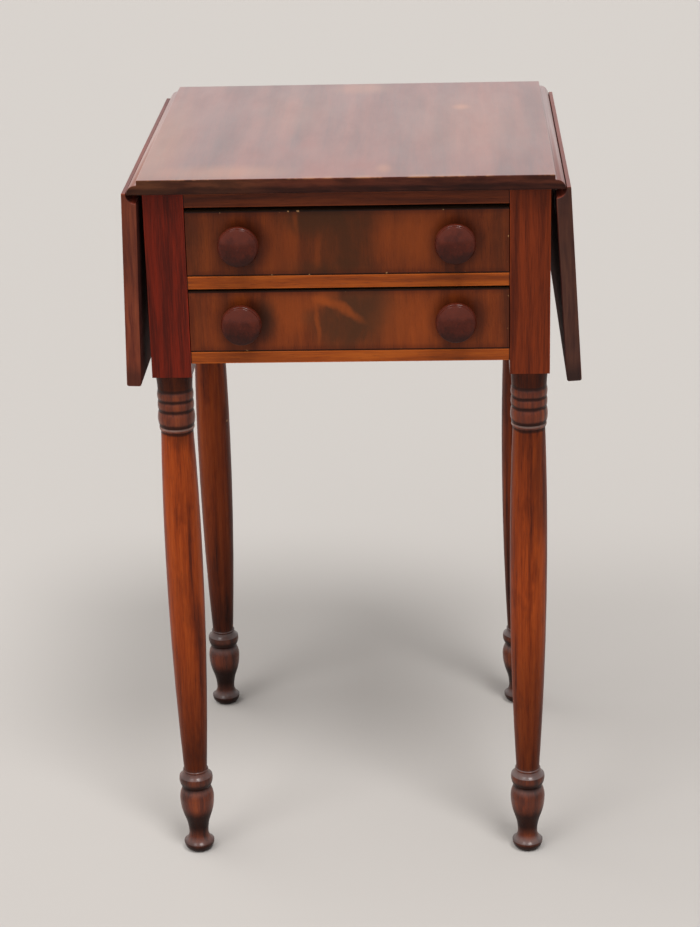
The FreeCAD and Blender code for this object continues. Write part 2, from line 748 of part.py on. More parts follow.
def top_plate_screws(side, along):
    """Centres of the screws of a hinge's top plate, which reaches in from the pin."""
    return plate_screws(-side, along, "Size.top_screw_near", "Size.top_screw_far")


def leaf_plate_screws(side, along):
    """Centres of the screws of a hinge's leaf plate, which reaches out from the pin."""
    return plate_screws(side, along, "Size.leaf_screw_near", "Size.leaf_screw_far")


def hinge_recess(side, along, inner, outer):
    """Plan of a recess for a hinge, between two distances from the middle plane."""
    half = "(Size.hinge_length / 2 + Size.recess_gap)"
    return between(f"{side} * ({inner})", f"{side} * ({outer})", f"{along} - {half}", f"{along} + {half}")


def make_top():
    """The fixed top: a rounded rule joint on both long edges, recessed for the four hinges."""
    body = new_body("table_top")
    bulge = f"Place.round_radius * {QUARTER_BULGE}"
    step = "Size.table_height - Size.rule_fillet"
    section = [
        ("-Place.round_end", "Place.top_underside"),
        ("Place.round_end", "Place.top_underside"),
        ("Place.round_end", "Place.pin_level"),
        ("Place.pin_across", step, bulge),
        ("Place.fillet_line", step),
        ("Place.fillet_line", "Size.table_height"),
        ("-Place.fillet_line", "Size.table_height"),
        ("-Place.fillet_line", step),
        ("-Place.pin_across", step),
        ("-Place.round_end", "Place.pin_level", bulge),
    ]
    prism(body, "board", "XZ", [section], "Place.top_front", "Place.top_back")
    places = [(side, along) for side in SIDES.values() for along in HINGES.values()]
    floor = "Place.top_underside"
    inner = "Place.pin_across - Size.top_plate_width - Size.recess_gap"
    plates = [hinge_recess(side, along, inner, "Place.pin_across") for side, along in places]
    prism(body, "plate_recesses", "XY", plates, floor, f"{floor} + Size.plate_thickness", cut=True)
    inner = "Place.pin_across - Size.knuckle_radius - Size.swing_gap"
    outer = "Place.pin_across + Size.knuckle_radius + Size.swing_gap"
    knuckles = [hinge_recess(side, along, inner, outer) for side, along in places]
    high = "Place.pin_level + Size.knuckle_radius + Size.swing_gap"
    prism(body, "knuckle_recesses", "XY", knuckles, floor, high, cut=True)
    outer = "Place.round_end + Size.rule_clearance"
    swings = [hinge_recess(side, along, "Place.pin_across", outer) for side, along in places]
    high = f"{floor} + Size.plate_thickness + Size.swing_gap"
    prism(body, "leaf_plate_recesses", "XY", swings, floor, high, cut=True)
    pilots = [(f"{side} * Place.pin_across + {across}", along_screw) for side, along in places
              for across, along_screw in top_plate_screws(side, along)]
    high = f"{floor} + Size.hinge_screw_length"
    drum(body, "hinge_pilot_holes", "XY", pilots, "Size.hinge_screw_radius", floor, high, cut=True)
    drum(body, "case_pilot_holes", "XY", top_screw_centres(), "Size.wood_screw_radius",
         floor, "Place.wood_screw_tip", cut=True)


def top_screw_centres():
    """Where the top is screwed down, on the front rail and on both kickers."""
    centres = rail_screw_centres()
    for side in SIDES.values():
        centres += kicker_screw_centres(side)
    return centres


def hang(item, side_name):
    """Hangs a piece that is drawn about the hinge pin, with the leaf raised, as the leaf hangs."""
    side = SIDES[side_name]
    angle = f"{side} * (90 - Size.{side_name}_lean)"
    put(item, f"{side} * Place.pin_across", "0", "Place.pin_level", "0; 1; 0", angle)


def make_leaf(side_name):
    """A leaf with its hollow rule joint, drawn raised about the hinge pin and then hung."""
    side = SIDES[side_name]
    body = new_body(f"leaf_{side_name}")
    lip = "(Size.lip_gap - Size.pin_outset)"
    corner = f"Size.leaf_round * {QUARTER_BULGE}"
    section = [
        ("Place.cove_radius", "-Size.pin_rise"),
        ("Size.leaf_drop - Size.leaf_round", "-Size.pin_rise"),
        ("Size.leaf_drop", "Size.leaf_round - Size.pin_rise", corner),
        ("Size.leaf_drop", "Place.leaf_top - Size.leaf_round"),
        ("Size.leaf_drop - Size.leaf_round", "Place.leaf_top", corner),
        (lip, "Place.leaf_top"),
        (lip, "Place.cove_radius"),
        ("0", "Place.cove_radius"),
        ("Place.cove_radius", "0", f"-Place.cove_radius * {QUARTER_BULGE}"),
    ]
    if side < 0:
        section = mirrored(section)
    prism(body, "board", "XZ", [section], "Place.top_front", "Place.top_back")
    low, high = "-Size.pin_rise", "Size.plate_thickness - Size.pin_rise"
    outer = "Size.leaf_plate_width + Size.recess_gap"
    plates = [hinge_recess(side, along, "Size.knuckle_radius", outer) for along in HINGES.values()]
    prism(body, "plate_recesses", "XY", plates, low, high, cut=True)
    pilots = [centre for along in HINGES.values() for centre in leaf_plate_screws(side, along)]
    high = "Size.hinge_screw_length - Size.pin_rise"
    drum(body, "pilot_holes", "XY", pilots, "Size.hinge_screw_radius", low, high, cut=True)
    hang(body, side_name)


# Hinges

def make_plate(label, direction, along, width, screws, keeps_middle):
    """A hinge plate about the pin: the flat plate, its share of the knuckle and three sunk holes."""
    body = new_body(label)
    low, high = f"{along} - Size.hinge_length / 2", f"{along} + Size.hinge_length / 2"
    plan = between("0", f"{direction} * {width}", low, high)
    prism(body, "plate", "XY", [plan], "-Size.pin_rise", "Size.plate_thickness - Size.pin_rise")
    drum(body, "knuckle", "XZ", [("0", "0")], "Size.knuckle_radius", low, high)
    room = "2 * (Size.knuckle_radius + Size.knuckle_gap)"
    clear = [centred("0", "0", room, room)]
    middle_low, middle_high = f"{along} - Size.knuckle_middle / 2", f"{along} + Size.knuckle_middle / 2"
    if keeps_middle:
        prism(body, "front_notch", "XZ", clear, low, middle_low, cut=True)
        prism(body, "back_notch", "XZ", clear, middle_high, high, cut=True)
    else:
        gap = "Size.knuckle_gap"
        prism(body, "notch", "XZ", clear, f"{middle_low} - {gap}", f"{middle_high} + {gap}", cut=True)
    drum(body, "bore", "XZ", [("0", "0")], "Size.hinge_pin_radius + Size.pin_clearance", low, high, cut=True)
    sketch = new_sketch(body, "screw_holes", "XY", "-Size.pin_rise")
    for centre in screws:
        draw_circle(sketch, centre, "Size.hinge_screw_radius")
    doc.recompute()
    holes = body.newObject("PartDesign::Hole", "screw_holes")
    holes.Profile = (sketch, [""])
    doc.recompute()
    holes.ThreadType = "None"
    holes.DepthType = "ThroughAll"
    holes.Reversed = True
    holes.HoleCutType = "Countersink"
    holes.HoleCutCustomValues = True
    holes.HoleCutCountersinkAngle = 90
    holes.setExpression("Diameter", "2 * (Size.hinge_screw_radius + Size.pin_clearance)")
    holes.setExpression("HoleCutDiameter", "2 * (Size.hinge_screw_head + Size.pin_clearance)")
    return body


def make_hinge(side_name, end_name):
    """One hinge of the rule joint: top plate, leaf plate and pin."""
    side, along = SIDES[side_name], HINGES[end_name]
    name = f"hinge_{side_name}_{end_name}"
    pin_place = (f"{side} * Place.pin_across", "0", "Place.pin_level")
    top_plate = make_plate(f"{name}_top_plate", -side, along, "Size.top_plate_width",
                           top_plate_screws(side, along), keeps_middle=False)
    put(top_plate, *pin_place)
    leaf_plate = make_plate(f"{name}_leaf_plate", side, along, "Size.leaf_plate_width",
                            leaf_plate_screws(side, along), keeps_middle=True)
    hang(leaf_plate, side_name)
    pin = new_body(f"{name}_pin")
    low, high = f"{along} - Size.hinge_length / 2", f"{along} + Size.hinge_length / 2"
    drum(pin, "pin", "XZ", [("0", "0")], "Size.hinge_pin_radius", low, high)
    put(pin, *pin_place)


# Swinging brackets

def finger_slots(body, centre, fingers):
    """Cuts the gaps of a wooden knuckle joint, one finger high each."""
    finger = f"Size.fly_height / {FINGERS}"
    room = "Place.fly_thickness + 2 * Size.finger_gap"
    for number in fingers:
        low = f"Place.fly_bottom + {number} * {finger} - Size.finger_gap / 2"
        high = f"Place.fly_bottom + {number + 1} * {finger} + Size.finger_gap / 2"
        prism(body, f"slot_{number}", "XY", [centred(*centre, room, room)], low, high, cut=True)


def make_fly_rail(side_name):
    """The fixed rail outside a side panel, with the bracket that swings on it and their pin."""
    side = SIDES[side_name]
    across, along = f"{side} * Place.fly_across", "Place.case_middle"
    levels = ("Place.fly_bottom", "Place.fly_top")
    barrel, bore = "Place.fly_thickness / 2", "Size.fly_pin_radius + Size.pin_clearance"
    rail = new_body(f"fly_rail_{side_name}")
    ends = (f"{side} * Place.panel_outside", f"{side} * Place.fly_outside")
    prism(rail, "rail", "XY", [between(*ends, along, "Place.back_leg_front")], *levels)
    drum(rail, "barrel", "XY", [(across, along)], barrel, *levels)
    finger_slots(rail, (across, along), range(1, FINGERS, 2))
    drum(rail, "bore", "XY", [(across, along)], bore, *levels, cut=True)
    shank = "Size.wood_screw_radius + Size.screw_clearance"
    head = "Size.wood_screw_head + Size.screw_clearance"
    stretch = spread(side, "Place.panel_outside", "Place.fly_outside")
    drum(rail, "screw_holes", "YZ", fly_screw_centres(), shank, *stretch, cut=True)
    stretch = spread(side, "Place.fly_screw_seat", "Place.fly_outside")
    drum(rail, "head_holes", "YZ", fly_screw_centres(), head, *stretch, cut=True)

    bracket = new_body(f"fly_bracket_{side_name}")
    tip = "-Size.bracket_length"
    outline = [
        ("0", "Place.fly_bottom"),
        ("0", "Place.fly_top"),
        (tip, "Place.fly_top"),
        (tip, "Place.fly_top - Size.bracket_tip_height"),
        ("Size.bracket_curve_run - Size.bracket_length", "Place.fly_bottom", "-Size.bracket_hollow"),
    ]
    prism(bracket, "arm", "YZ", [outline], f"-{barrel}", barrel)
    drum(bracket, "barrel", "XY", [("0", "0")], barrel, *levels)
    finger_slots(bracket, ("0", "0"), range(0, FINGERS, 2))
    drum(bracket, "bore", "XY", [("0", "0")], bore, *levels, cut=True)
    put(bracket, across, along, "0", angle=f"{side} * Place.{side_name}_bracket_swing")

    pin = new_body(f"fly_pin_{side_name}")
    low = "Place.fly_bottom - Size.fly_pin_tail"
    drum(pin, "wire", "XY", [(across, along)], "Size.fly_pin_radius", low, "Place.fly_top")


# Screws

def make_screw(label, points):
    """One screw that points up from its seat, to be copied into groups."""
    screw = doc.addObject("PartDesign::Body", label)
    turning(screw, "turned_part", "XZ", points)
    return screw


def make_group(label, screw, places):
    """A piece made of copies of one screw."""
    copies = []
    for number, spot in enumerate(places, 1):
        copy = doc.addObject("App::Link", f"{label}_{number}")
        copy.LinkedObject = screw
        put(copy, *spot)
        copies.append(copy)
    group = doc.addObject("Part::Compound", label)
    group.Label = label
    group.Links = copies
    pieces.append(group)
    return group


def make_screws():
    """The screws of the top, the fly rails, the hinges' top plates and the hinges' leaf plates."""
    wood_screw = make_screw("wood_screw", [
        ("0", "-Size.wood_screw_head_height"),
        ("Size.wood_screw_radius", "-Size.wood_screw_head_height"),
        ("Size.wood_screw_head", "0", "Size.wood_screw_head_height / 4"),
        ("Size.wood_screw_radius", "0"),
        ("Size.wood_screw_radius", "Size.wood_screw_length - Size.wood_screw_radius"),
        ("0", "Size.wood_screw_length"),
    ])
    sunk = "Size.hinge_screw_head - Size.hinge_screw_radius"
    hinge_screw = make_screw("hinge_screw", [
        ("0", "0"),
        ("Size.hinge_screw_head", "0"),
        ("Size.hinge_screw_radius", sunk),
        ("Size.hinge_screw_radius", "Size.hinge_screw_length - Size.hinge_screw_radius"),
        ("0", "Size.hinge_screw_length"),
    ])
    make_group("top_screws", wood_screw, [
        (*centre, "Place.wood_screw_seat") for centre in top_screw_centres()])
    make_group("fly_rail_screws", wood_screw, [
        (f"{side} * Place.fly_screw_seat", *centre, "0; 1; 0", f"{side} * -90")
        for side in SIDES.values() for centre in fly_screw_centres()])
    make_group("hinge_top_screws", hinge_screw, [
        (f"{side} * Place.pin_across + {across}", along, "Place.top_underside")
        for side in SIDES.values() for hinge in HINGES.values()
        for across, along in top_plate_screws(side, hinge)])
    for side_name, side in SIDES.items():
        group = make_group(f"hinge_leaf_screws_{side_name}", hinge_screw, [
            (*centre, "-Size.pin_rise") for hinge in HINGES.values()
            for centre in leaf_plate_screws(side, hinge)])
        hang(group, side_name)


def check_model():
    """Stops unless every object is sound, every cut takes something away and every piece is solid."""
    for item in doc.Objects:
        if {"Invalid", "Error"} & set(item.State):
            raise RuntimeError(f"{item.Label} failed: {item.State}")
        if item.TypeId in ("PartDesign::Pocket", "PartDesign::Hole"):
            if item.Shape.Volume >= item.BaseFeature.Shape.Volume:
                raise RuntimeError(f"{item.Label} cuts nothing")
    for piece in pieces:
        shape = piece.Shape
        if shape.isNull() or not shape.isValid() or not shape.Solids:
            raise RuntimeError(f"{piece.Label} has no sound solid")
        wanted = len(piece.Links) if piece.TypeId == "Part::Compound" else 1
        if len(shape.Solids) != wanted:
            raise RuntimeError(f"{piece.Label} has {len(shape.Solids)} solids")


for end_name in ENDS:
    for side_name in SIDES:
        make_leg(end_name, side_name)
for side_name in SIDES:
    make_side_panel(side_name)
make_back_panel()
make_top_rail()
for rail_name in RAIL_LEVELS:
    make_front_rail(rail_name)
for side_name in SIDES:
    make_runners_and_kicker(side_name)
make_top()
for drawer_name in ("upper", "lower"):
    make_drawer(drawer_name)
for side_name in SIDES:
    make_leaf(side_name)
    make_fly_rail(side_name)
    for end_name in HINGES:
        make_hinge(side_name, end_name)
make_screws()
doc.recompute()
check_model()

os.makedirs("parts", exist_ok=True)
for piece in pieces:
    piece.Shape.exportStep(f"parts/{piece.Label}.step")
print(f"{len(pieces)} pieces written")
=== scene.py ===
from math import pi, radians

import bpy
from mathutils import Matrix, Vector


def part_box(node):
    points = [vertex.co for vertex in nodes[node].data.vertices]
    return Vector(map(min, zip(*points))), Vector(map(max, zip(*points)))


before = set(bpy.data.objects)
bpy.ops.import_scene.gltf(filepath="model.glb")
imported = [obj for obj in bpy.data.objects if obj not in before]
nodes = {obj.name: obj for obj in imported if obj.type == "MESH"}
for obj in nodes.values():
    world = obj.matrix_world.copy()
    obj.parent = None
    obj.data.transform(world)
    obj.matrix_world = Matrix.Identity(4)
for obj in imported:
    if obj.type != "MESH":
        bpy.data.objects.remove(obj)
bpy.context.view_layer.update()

SIDES = {"left": -1, "right": 1}
AXES = {"X": 0, "Y": 1, "Z": 2}

# Camera: its place, its turns in degrees, and its focal length in pixels of a frame with this longer side.
CAMERA_PLACE = (0.0931, -2.3181, 1.2750)
CAMERA_ROLL = 0.59
CAMERA_TILT = -21.43
CAMERA_YAW = 2.17
FOCAL_PIXELS = 2373.0
FRAME_SIDE = 927
SENSOR_SIDE = 36

# Sky: its strength as a lamp, and what shows of it in view and in polished surfaces.
SKY_COLOUR = (1.0, 0.97, 0.97, 1)
SKY_LIGHT = 0.26
SKY_IN_VIEW = 0.90
SKY_REFLECTED = 1.00

FLOOR_REACH = 40
FLOOR_COLOUR = (0.58, 0.56, 0.535, 1)

# Lamps, as (name, place, power, colour, angle across in degrees, whether polished surfaces show it).
LAMP_TARGET = (0, 0, 0.5)
LAMPS = (
    ("Key", (-3.0, -2.1, 2.7), 2.38, (1, 0.97, 0.94), 130, False),
    ("Ceiling left", (-1.1, -1.3, 3.2), 0.45, (1, 0.98, 0.97), 18, True),
    ("Ceiling right", (0.7, -1.3, 3.2), 1.25, (1, 0.98, 0.97), 18, True),
)

# Heights on the legs: lower end of the square block, upper end of the thick dust and painted highlight, the
# beaded neck, the fillet with its painted highlight at the neck's lower end, and the upper end of the shiny
# foot.
BLOCK_BOTTOM = 0.5265
DUST_AND_HIGHLIGHT_TOP = 0.473
NECK = (0.4675, 0.510)
FILLET = (0.4698, 0.4716)
FOOT_TOP = 0.095

# Inner faces of the legs, where the front rails end, as a distance from the middle of the table.
LEG_INNER = 0.152

# Width of the rounding on the arrises of the top and the leaves, and of the front rails.
TOP_ARRIS = 0.0008
RAIL_ARRIS = 0.0004

# Bands of grime and painted shade on the turned legs, as (bottom, top, strength).
GRIME_AND_SHADE_LEVELS = (
    (0.5085, 0.5290, 0.72),
    (0.5080, 0.5115, 0.80),
    (0.4977, 0.5012, 0.88),
    (0.4874, 0.4912, 0.88),
    (0.4714, 0.4760, 0.88),
    (0.4650, 0.4685, 0.80),
    (0.0722, 0.0800, 0.92),
    (0.0205, 0.0490, 0.97),
    (-0.003, 0.0092, 0.95),
)

# Shade of the turned legs by height, as (height, brightness).
LEFT_PROFILE = (
    (0.0, 0.25), (0.05, 0.70), (0.08, 0.34), (0.11, 0.24), (0.15, 0.5), (0.24, 0.85), (0.36, 1), (0.452, 1),
    (0.475, 0.55), (0.50, 0.45),
)
RIGHT_PROFILE = (
    (0.0, 0.3), (0.05, 0.75), (0.08, 0.34), (0.11, 0.34), (0.17, 0.5), (0.29, 1), (0.38, 0.85), (0.46, 0.6),
)

# Rubbed places on the top, as (x, y, half width, half depth, strength).
TOP_WEAR = (
    (-0.185, -0.060, 0.022, 0.160, 0.40),
    (-0.118, -0.168, 0.050, 0.022, 0.45),
    (0.035, -0.160, 0.006, 0.013, 0.40),
    (0.109, 0.089, 0.007, 0.010, 0.60),
    (0.005, 0.182, 0.024, 0.020, 0.35),
    (0.120, 0.020, 0.060, 0.120, 0.15),
    (-0.060, 0.080, 0.030, 0.080, 0.15),
)

# Figure of the veneers, as (kind, x, z, half width, half height, turn in degrees, strength).
UPPER_FIGURE = (
    ("dark", -0.008, 0.684, 0.038, 0.014, 0, 1.0),
    ("dark", 0.004, 0.658, 0.020, 0.024, 0, 0.9),
    ("dark", -0.012, 0.634, 0.036, 0.009, 0, 0.85),
    ("dark", -0.145, 0.660, 0.016, 0.030, 0, 0.35),
    ("flame", 0.062, 0.664, 0.028, 0.026, 0, 0.6),
    ("dark", 0.146, 0.660, 0.012, 0.034, 0, 0.2),
    ("flame", -0.062, 0.652, 0.016, 0.030, 0, 0.35),
    ("dark", -0.034, 0.681, 0.022, 0.012, 0, 0.75),
    ("dark", -0.022, 0.660, 0.018, 0.020, 0, 0.55),
    ("flame", -0.027, 0.650, 0.0025, 0.013, -8, 0.35),
    ("flame", -0.045, 0.682, 0.0025, 0.009, 8, 0.35),
)
LOWER_FIGURE = (
    ("dark", 0.006, 0.586, 0.034, 0.030, 0, 1.1),
    ("dark", -0.037, 0.585, 0.006, 0.007, 0, 0.7),
    ("dark", -0.013, 0.573, 0.018, 0.016, 0, 0.8),
    ("dark", 0.022, 0.597, 0.018, 0.014, 0, 0.7),
    ("flame", -0.010, 0.5945, 0.020, 0.0038, -27, 0.7),
    ("flame", -0.026, 0.604, 0.012, 0.007, 35, 0.55),
    ("flame", -0.029, 0.578, 0.0018, 0.020, 3, 0.5),
    ("flame", -0.055, 0.590, 0.018, 0.022, 0, 0.5),
    ("flame", 0.062, 0.580, 0.030, 0.024, 0, 0.5),
    ("dark", 0.150, 0.585, 0.008, 0.030, 0, 0.2),
    ("dark", -0.080, 0.584, 0.010, 0.016, 0, 0.9),
)

# Dark, middle and light tone of each wood.
TOP_TONES = ((0.085, 0.014, 0.010), (0.15, 0.030, 0.018), (0.21, 0.046, 0.026))
SHAFT_TONES = ((0.085, 0.014, 0.004), (0.25, 0.040, 0.005), (0.36, 0.068, 0.009))
# The back shafts are the front shafts darkened: partly their own tone, partly painted shade.
BACK_SHAFT_SHADED_TONES = [[value * 0.62 for value in tone] for tone in SHAFT_TONES]
PANEL_TONES = ((0.045, 0.010, 0.004), (0.095, 0.022, 0.006), (0.15, 0.038, 0.010))
DIM_RAIL_TONES = ((0.054, 0.010, 0.003), (0.10, 0.018, 0.004), (0.15, 0.029, 0.006))
WARM_RAIL_TONES = ((0.16, 0.030, 0.004), (0.255, 0.049, 0.005), (0.35, 0.078, 0.008))
UPPER_TONES = ((0.055, 0.011, 0.003), (0.125, 0.023, 0.004), (0.19, 0.037, 0.005))
LOWER_TONES = [[value * 1.3 for value in tone] for tone in UPPER_TONES]
KNOB_TONES = ((0.020, 0.0038, 0.0020), (0.056, 0.0082, 0.0038), (0.105, 0.015, 0.006))
# The core of the drawer fronts is near black: painted shade of the gaps above the drawers.
SHADED_CORE_TONES = ((0.018, 0.009, 0.005), (0.035, 0.018, 0.009), (0.055, 0.030, 0.015))
BARE_TONES = ((0.16, 0.085, 0.038), (0.27, 0.155, 0.070), (0.36, 0.22, 0.105))

# Dark and light tone of the legs' blocks.
RED_BLOCK = ((0.056, 0.006, 0.003), (0.165, 0.013, 0.004))
BROWN_BLOCK = ((0.068, 0.010, 0.003), (0.175, 0.026, 0.005))

# Tints that multiply the end grain of the leaves; the right one is partly painted shade.
LEAF_END_TINTS_AND_SHADE = {"left": (1.0, 1.0, 0.66), "right": (0.42, 0.69, 0.69)}

# Colours laid over the wood: dust that is partly a painted highlight, grime that is partly painted shade,
# worn polish, bare wood in knocks, a painted highlight on the leg fillets, painted shade on the edges of the
# veneers, and knob wear that is partly painted light.
DUST_AND_HIGHLIGHT = (0.130, 0.096, 0.091)
GRIME_AND_SHADE = (0.012, 0.0045, 0.0035)
FILLET_HIGHLIGHT = (0.34, 0.25, 0.22)
LEG_NICK = (0.42, 0.20, 0.08)
PALE_POLISH = (0.26, 0.048, 0.024)
TOP_RUBBED = (0.46, 0.17, 0.07)
TOP_FRONT_RUBBED = (0.42, 0.16, 0.06)
TOP_CHIP = (0.36, 0.17, 0.08)
VENEER_CHIP = (0.36, 0.19, 0.08)
VENEER_EDGE_SHADE = (0.012, 0.006, 0.003)
KNOB_WEAR_AND_LIGHT = (0.120, 0.020, 0.009)
KNOB_KNOCK = (0.14, 0.05, 0.03)


def squeeze(axis, factor):
    """Scale that changes one axis only."""
    scale = Vector((1, 1, 1))
    scale[AXES[axis]] = factor
    return scale


def brighter(colour, factor):
    """A colour times a factor, up to white."""
    return [min(1, value * factor) for value in colour]


class Graph:
    """The node graph of one material. Each method adds nodes and returns the socket of their result."""

    def __init__(self, name):
        self.material = bpy.data.materials.new(name)
        self.material.use_nodes = True
        self.tree = self.material.node_tree
        self.shader = self.tree.nodes["Principled BSDF"]
        coordinates = self.add("ShaderNodeTexCoord")
        self.place = coordinates.outputs["Object"]
        self.normal = coordinates.outputs["Normal"]

    def add(self, kind, inputs=None, **settings):
        """One node, with settings as attributes and inputs as sockets, numbers or colours."""
        node = self.tree.nodes.new(kind)
        for key, value in settings.items():
            setattr(node, key, value)
        for key, value in (inputs or {}).items():
            self.feed(node.inputs[key], value)
        return node

    def feed(self, socket, value):
        """Links a socket, or sets it to a constant."""
        if isinstance(value, bpy.types.NodeSocket):
            self.tree.links.new(value, socket)
        elif socket.type == "RGBA" and len(value) == 3:
            socket.default_value = (*value, 1)
        else:
            socket.default_value = value

    def calc(self, operation, *values):
        """Arithmetic on numbers."""
        return self.add("ShaderNodeMath", dict(enumerate(values)), operation=operation).outputs[0]

    def times(self, first, *others):
        """Product of masks."""
        for other in others:
            first = self.calc("MULTIPLY", first, other)
        return first

    def wander(self, value, noise, reach):
        """A value moved up and down by noise."""
        return self.calc("MULTIPLY_ADD", self.calc("SUBTRACT", noise, 0.5), reach, value)

    def move(self, operation, first, second):
        """Arithmetic on vectors."""
        return self.add("ShaderNodeVectorMath", {0: first, 1: second}, operation=operation).outputs[0]

    def length(self, vector):
        """Length of a vector."""
        return self.add("ShaderNodeVectorMath", {0: vector}, operation="LENGTH").outputs["Value"]

    def part(self, vector, axis):
        """One component of a vector."""
        return self.add("ShaderNodeSeparateXYZ", {0: vector}).outputs[axis]

    def noise(self, at, scale, detail=2.0, roughness=0.5, output=0):
        """Cloudy noise from 0 to 1, scale in cells per metre."""
        inputs = {"Vector": at, "Scale": scale, "Detail": detail, "Roughness": roughness}
        return self.add("ShaderNodeTexNoise", inputs).outputs[output]

    def drift(self, at, scale, detail, roughness, reach):
        """Cloudy offset within about half of reach on each axis."""
        cloud = self.noise(at, scale, detail, roughness, output=1)
        return self.move("MULTIPLY", self.move("SUBTRACT", cloud, (0.5, 0.5, 0.5)), reach)

    def between(self, value, low, high, start=0.0, end=1.0):
        """Smooth change from start to end while the value goes from low to high."""
        inputs = {"Value": value, "From Min": low, "From Max": high, "To Min": start, "To Max": end}
        return self.add("ShaderNodeMapRange", inputs, interpolation_type="SMOOTHSTEP").outputs[0]

    def band(self, value, low, high, soft_low, soft_high):
        """Mask of the values from low to high, with soft ends."""
        rise = self.between(value, low - soft_low, low + soft_low)
        fall = self.between(value, high + soft_high, high - soft_high)
        return self.times(rise, fall)

    def ramp(self, value, *stops):
        """Colour ramp through (position, colour) stops."""
        node = self.add("ShaderNodeValToRGB", {0: value})
        elements = node.color_ramp.elements
        while len(elements) < len(stops):
            elements.new(0.5)
        for element, (position, colour) in zip(elements, stops):
            element.position = position
            element.color = (*colour, 1)
        return node.outputs[0]

    def mix(self, amount, first, second, blend="MIX"):
        """Mixes two colours, through the sockets of the mix node that take colours."""
        node = self.add("ShaderNodeMix", data_type="RGBA", blend_type=blend)
        for index, value in ((0, amount), (6, first), (7, second)):
            self.feed(node.inputs[index], value)
        return node.outputs[2]

    def blob(self, at, centre, radii, soft=0.5, turn=0.0):
        """Mask of a soft-edged ellipsoid, turned about Y by an angle in degrees."""
        offset = self.move("SUBTRACT", at, centre)
        if turn:
            inputs = {"Vector": offset, "Angle": radians(turn)}
            offset = self.add("ShaderNodeVectorRotate", inputs, rotation_type="Y_AXIS").outputs[0]
        return self.between(self.length(self.move("DIVIDE", offset, radii)), 1 + soft, 1 - soft)

    def spots(self, scale, outer, inner):
        """Mask of round spots, scale in cells per metre, radii in cells."""
        cells = self.add("ShaderNodeTexVoronoi", {"Vector": self.place, "Scale": scale})
        return self.between(cells.outputs["Distance"], outer, inner)

    def edge_distance(self, low, high):
        """Distance to the nearest edge of a box, on its surface."""
        from_low = self.move("SUBTRACT", self.place, low)
        from_high = self.move("SUBTRACT", high, self.place)
        x, y, z = self.add("ShaderNodeSeparateXYZ", {0: self.move("MINIMUM", from_low, from_high)}).outputs
        farther = self.calc("MAXIMUM", x, y)
        return self.calc("MAXIMUM", self.calc("MINIMUM", x, y), self.calc("MINIMUM", farther, z))

    def finish(self, colour, roughness, height, relief, **constants):
        """Joins colour, roughness and relief to the shader and sets its constant values."""
        bump = self.add("ShaderNodeBump", {"Height": height, "Distance": relief, "Strength": 1.0})
        self.feed(self.shader.inputs["Base Color"], colour)
        self.feed(self.shader.inputs["Roughness"], roughness)
        self.feed(self.shader.inputs["Normal"], bump.outputs[0])
        for name, value in constants.items():
            self.feed(self.shader.inputs[name.replace("_", " ")], value)
        return self.material


